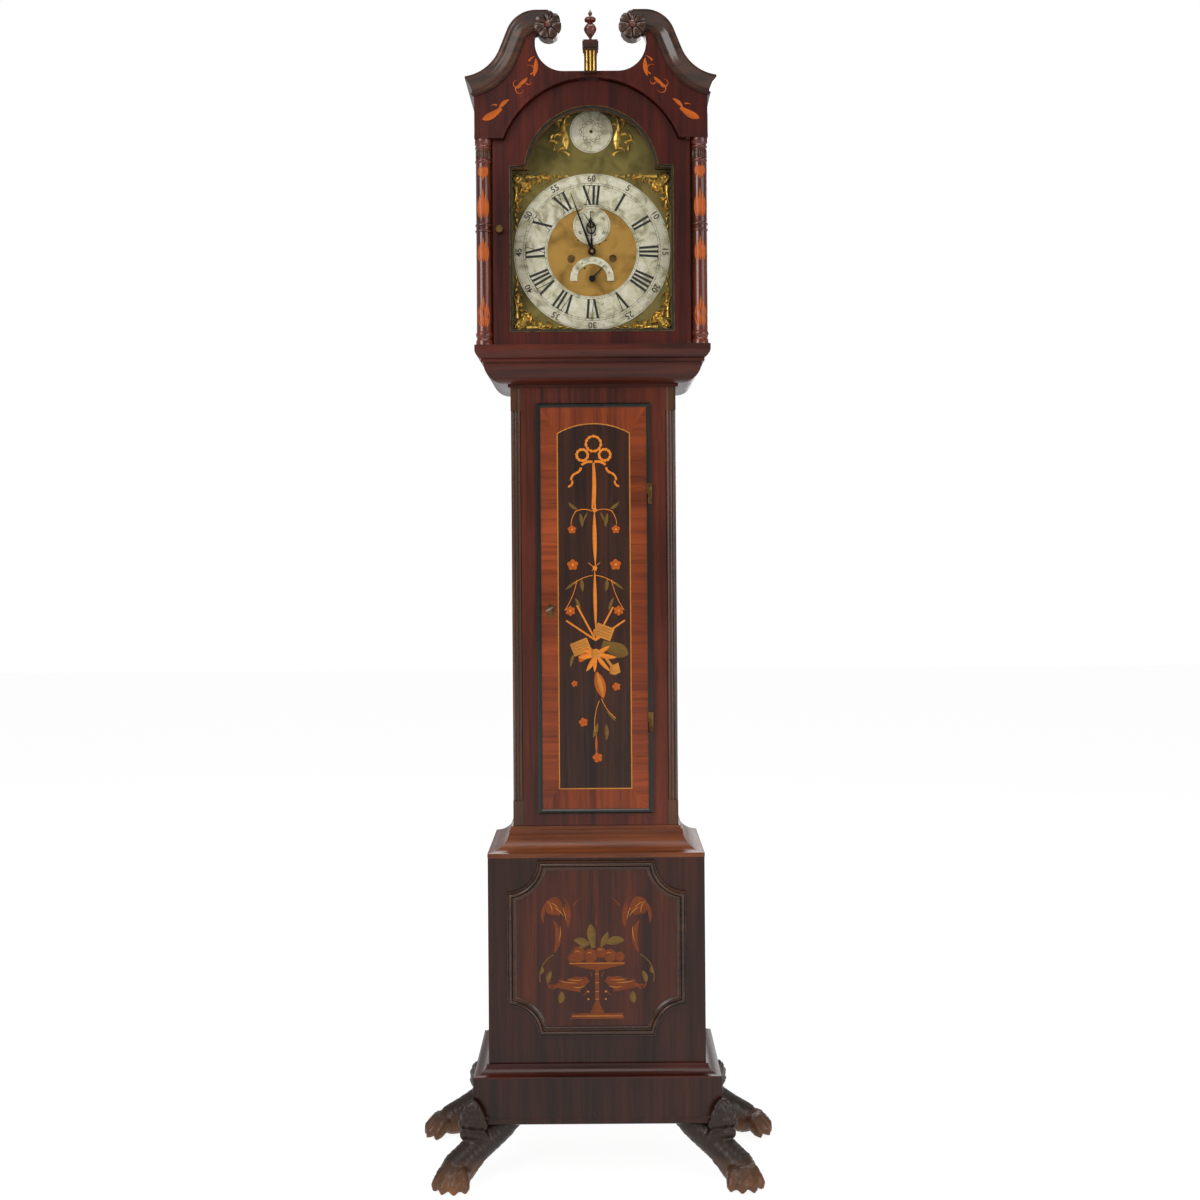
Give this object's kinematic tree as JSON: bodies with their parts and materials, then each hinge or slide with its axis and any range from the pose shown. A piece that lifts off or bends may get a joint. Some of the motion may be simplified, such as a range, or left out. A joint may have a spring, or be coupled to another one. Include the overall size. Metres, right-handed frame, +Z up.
{
  "type": "longcase clock",
  "caption": "Longcase clock with an arched brass dial, sliding hood with swan-neck pediment, long trunk door, panelled base on paw feet, eight-day movement.",
  "frame": {"origin": "on the floor, under the middle of the clock's outline", "axes": "+Z up, +X to the right as seen from the front, +Y from the dial towards the back"},
  "size_m": [0.68, 0.3351, 2.1315],
  "materials": {
    "mahogany": "french polished, glossy",
    "dark_mahogany": "french polished, dark",
    "crossbanded_door": "crossbanded and inlaid, polished",
    "ebonised": "ebonised, polished",
    "carved_wood": "dark stain, worn at the toes",
    "oak": "plain sawn, unpolished",
    "gilt_brass": "gilt, chased",
    "dial_brass": "matted, aged",
    "silvered_brass": "silvered",
    "clock_brass": "polished",
    "blued_steel": "blued",
    "bright_steel": "polished",
    "bell_metal": "turned",
    "window_glass": "clear",
    "cast_weight": "painted",
    "gut_line": "twisted gut"
  },
  "bodies": {
    "case": {"backboard": "oak", "trunk_sides": "mahogany", "trunk_front_frame": "mahogany", "quarter_columns": "mahogany", "throat_moulding": "mahogany", "waist_moulding": "mahogany", "base_boards": "dark_mahogany", "base_panel_moulding": "dark_mahogany", "plinth": "dark_mahogany", "plinth_moulding": "dark_mahogany", "carcass_blocks": "oak", "paw_feet": "carved_wood", "trunk_hinge_leaves": "clock_brass", "seatboard": "oak", "dial_plate": "dial_brass", "dial_rings": "silvered_brass", "dial_mounts": "gilt_brass", "movement_frame": "clock_brass", "bell": "bell_metal", "going_line": "gut_line", "strike_line": "gut_line"},
    "hood": {"hood_base": "mahogany", "hood_sides": "mahogany", "hood_roof": "oak", "hood_mask": "oak", "hood_frieze": "mahogany", "pediment_mouldings": "mahogany", "rosettes": "dark_mahogany", "finial": "dark_mahogany", "hood_columns": "mahogany"},
    "hood_door": {"hood_door_frame": "mahogany", "hood_door_glass": "window_glass", "hood_door_fittings": "clock_brass"},
    "trunk_door": {"trunk_door": "crossbanded_door", "trunk_door_bead": "ebonised", "trunk_door_hinges": "clock_brass", "escutcheon": "clock_brass"},
    "key": {"trunk_key": "bright_steel"},
    "bolt": {"lock_bolt": "bright_steel"},
    "centre": {"centre_arbor": "clock_brass", "minute_hand": "blued_steel"},
    "going_great": {"going_great_wheel": "clock_brass"},
    "going_barrel": {"going_barrel": "clock_brass"},
    "third": {"third_arbor": "clock_brass"},
    "escape": {"escape_arbor": "clock_brass", "seconds_hand": "blued_steel"},
    "minute_work": {"minute_wheel": "clock_brass"},
    "hour": {"hour_wheel": "clock_brass", "hour_hand": "blued_steel"},
    "anchor": {"anchor": "bright_steel"},
    "pendulum": {"pendulum": "bright_steel", "pendulum_bob": "clock_brass"},
    "going_weight": {"going_weight": "cast_weight"},
    "strike_weight": {"strike_weight": "cast_weight"},
    "strike_great": {"strike_great_wheel": "clock_brass"},
    "strike_barrel": {"strike_barrel": "clock_brass"},
    "pin_wheel": {"pin_wheel": "clock_brass"},
    "hammer": {"hammer": "bright_steel"},
    "date_hand": {"date_hand": "blued_steel"}
  },
  "joints": [
    {"name": "hood_slide", "type": "slide", "parent": "case", "child": "hood", "axis": [0, -1, 0], "range_m": [0, 0.25]},
    {"name": "hood_door_hinge", "type": "hinge", "parent": "hood", "child": "hood_door", "pos_m": [0.177, -0.078, 1.52], "axis": [0, 0, 1], "range_deg": [0, 105]},
    {"name": "trunk_door_hinge", "type": "hinge", "parent": "case", "child": "trunk_door", "pos_m": [0.106, -0.029, 1.035], "axis": [0, 0, 1], "range_deg": [0, 110]},
    {"name": "key_turn", "type": "hinge", "parent": "trunk_door", "child": "key", "pos_m": [-0.0822, -0.0225, 1.035], "axis": [0, 1, 0], "range_deg": [0, 90]},
    {"name": "bolt_slide", "type": "slide", "parent": "trunk_door", "child": "bolt", "axis": [-1, 0, 0], "range_m": [0, 0.009]},
    {"name": "centre_turn", "type": "hinge", "parent": "case", "child": "centre", "pos_m": [0, 0.0065, 1.7004], "axis": [0, 1, 0], "continuous": true},
    {"name": "going_great_turn", "type": "hinge", "parent": "case", "child": "going_great", "pos_m": [0.0388, 0.029, 1.688], "axis": [0, 1, 0], "continuous": true},
    {"name": "third_turn", "type": "hinge", "parent": "case", "child": "third", "pos_m": [0.00756, 0.0065, 1.72582], "axis": [0, 1, 0], "continuous": true},
    {"name": "escape_turn", "type": "hinge", "parent": "case", "child": "escape", "pos_m": [0, 0.0065, 1.7492], "axis": [0, 1, 0], "continuous": true},
    {"name": "minute_work_turn", "type": "hinge", "parent": "case", "child": "minute_work", "pos_m": [0.0162, 0.0065, 1.6811], "axis": [0, 1, 0], "continuous": true},
    {"name": "hour_turn", "type": "hinge", "parent": "case", "child": "hour", "pos_m": [0, 0.0065, 1.7004], "axis": [0, 1, 0], "continuous": true},
    {"name": "pendulum_swing", "type": "hinge", "parent": "case", "child": "pendulum", "pos_m": [0, 0.0895, 1.7789], "axis": [0, 1, 0], "range_deg": [-3, 3]},
    {"name": "anchor_rock", "type": "hinge", "parent": "case", "child": "anchor", "pos_m": [0, 0.0895, 1.7789], "axis": [0, 1, 0], "range_deg": [-3, 3]},
    {"name": "going_weight_slide", "type": "slide", "parent": "case", "child": "going_weight", "axis": [0, 0, 1], "range_m": [0, 1.0556], "deforming": ["going_line"]},
    {"name": "going_barrel_turn", "type": "hinge", "parent": "case", "child": "going_barrel", "pos_m": [0.0388, 0.029, 1.688], "axis": [0, 1, 0], "range_deg": [-5765, 0]},
    {"name": "strike_weight_slide", "type": "slide", "parent": "case", "child": "strike_weight", "axis": [0, 0, 1], "range_m": [0, 1.0556], "deforming": ["strike_line"]},
    {"name": "strike_barrel_turn", "type": "hinge", "parent": "case", "child": "strike_barrel", "pos_m": [-0.0388, 0.029, 1.688], "axis": [0, 1, 0], "range_deg": [0, 5765]},
    {"name": "strike_great_turn", "type": "hinge", "parent": "case", "child": "strike_great", "pos_m": [-0.0388, 0.029, 1.688], "axis": [0, 1, 0], "continuous": true},
    {"name": "pin_wheel_turn", "type": "hinge", "parent": "case", "child": "pin_wheel", "pos_m": [-0.04194, 0.0065, 1.7239], "axis": [0, 1, 0], "continuous": true},
    {"name": "hammer_lift", "type": "hinge", "parent": "case", "child": "hammer", "pos_m": [-0.056, 0.04, 1.756], "axis": [0, 1, 0], "range_deg": [-12, 0]},
    {"name": "date_turn", "type": "hinge", "parent": "case", "child": "date_hand", "pos_m": [0, -0.0245, 1.6504], "axis": [0, 1, 0], "continuous": true}
  ],
  "couplings": [
    {"joint": "bolt_slide", "follows": "key_turn", "m_per_rad": 0.0057296},
    {"joint": "going_great_turn", "follows": "centre_turn", "ratio": -0.083333},
    {"joint": "third_turn", "follows": "centre_turn", "ratio": -7.5},
    {"joint": "escape_turn", "follows": "centre_turn", "ratio": 60},
    {"joint": "minute_work_turn", "follows": "centre_turn", "ratio": -1},
    {"joint": "hour_turn", "follows": "centre_turn", "ratio": 0.083333},
    {"joint": "anchor_rock", "follows": "pendulum_swing", "ratio": 1},
    {"joint": "going_barrel_turn", "follows": "going_weight_slide", "rad_per_m": -95.238},
    {"joint": "strike_barrel_turn", "follows": "strike_weight_slide", "rad_per_m": 95.238},
    {"joint": "pin_wheel_turn", "follows": "strike_great_turn", "ratio": -10.5}
  ]
}
